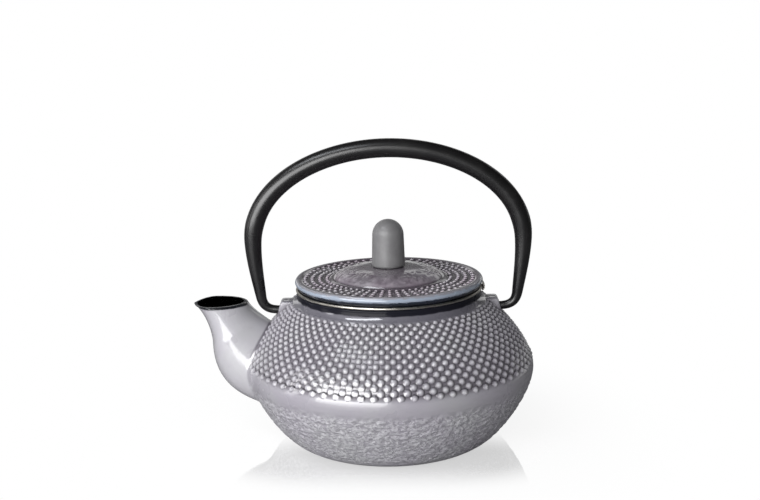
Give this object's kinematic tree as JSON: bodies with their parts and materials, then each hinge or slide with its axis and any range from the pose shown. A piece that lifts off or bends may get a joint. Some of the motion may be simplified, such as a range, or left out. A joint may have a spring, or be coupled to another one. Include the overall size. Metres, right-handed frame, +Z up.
{
  "type": "teapot",
  "caption": "Small enamelled cast iron teapot with a hobnail body, a spout, a swinging bail, a lift-off lid with a knob and a lift-out steel mesh infuser.",
  "frame": {"origin": "centre of the flat underside of the pot, on the table it stands on", "axes": "+Z up along the axis of the pot, -X towards the spout, the bail pivots about X"},
  "size_m": [0.142, 0.12, 0.1252],
  "materials": {
    "enamelled_iron": "gloss enamel, grey-lilac",
    "black_iron": "satin black",
    "steel_sheet": "polished stainless",
    "steel_mesh": "woven stainless",
    "grey_knob": "satin grey",
    "steel_fixing": "plain stainless"
  },
  "bodies": {
    "pot": {"pot": "enamelled_iron"},
    "bail": {"bail": "black_iron"},
    "infuser": {"infuser_rim": "steel_sheet", "infuser_tab": "steel_sheet", "infuser_side_mesh": "steel_mesh", "infuser_base_band": "steel_sheet", "infuser_base_mesh": "steel_mesh"},
    "lid": {"lid": "enamelled_iron", "knob": "grey_knob", "knob_screw": "steel_fixing", "knob_washer": "steel_fixing"}
  },
  "joints": [
    {"name": "bail_swing", "type": "hinge", "parent": "pot", "child": "bail", "pos_m": [0, 0, 0.0544], "axis": [1, 0, 0], "range_deg": [-95, 95]},
    {"name": "infuser_lift", "type": "slide", "parent": "pot", "child": "infuser", "axis": [0, 0, 1], "range_m": [0, 0.024]},
    {"name": "lid_lift", "type": "slide", "parent": "infuser", "child": "lid", "axis": [0, 0, 1], "range_m": [0, 0.024]}
  ]
}
